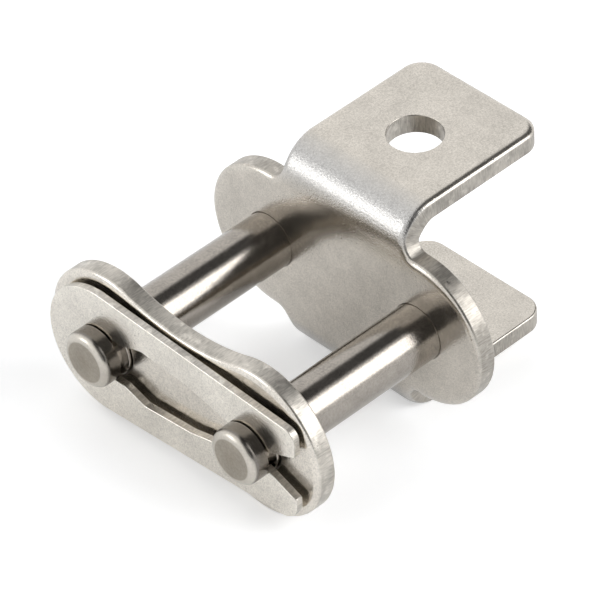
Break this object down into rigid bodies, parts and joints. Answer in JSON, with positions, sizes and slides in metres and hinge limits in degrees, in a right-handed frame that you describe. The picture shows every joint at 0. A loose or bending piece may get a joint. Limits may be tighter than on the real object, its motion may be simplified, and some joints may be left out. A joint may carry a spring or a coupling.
{
  "type": "attachment chain link",
  "caption": "Roller chain connecting link with bent attachment tabs on one plate, riveted pins, a cover plate and a spring clip.",
  "frame": {"origin": "midway between the pins on the inner face of the attachment plate", "axes": "X along the chain with the clip's open end at +X, Y along the pins with the tabs at +Y, Z across the tabs"},
  "size_m": [0.0346, 0.0421, 0.0238],
  "materials": {
    "attachment_plate_steel": "satin tumbled stainless steel",
    "cover_plate_steel": "satin tumbled stainless steel",
    "spring_clip_steel": "satin spring steel",
    "pin_steel": "polished hardened steel with matt end faces"
  },
  "bodies": {
    "root": {"attachment_plate": "attachment_plate_steel", "cover_plate": "cover_plate_steel", "spring_clip": "spring_clip_steel", "pin_closed_end": "pin_steel", "pin_open_end": "pin_steel"}
  },
  "joints": []
}
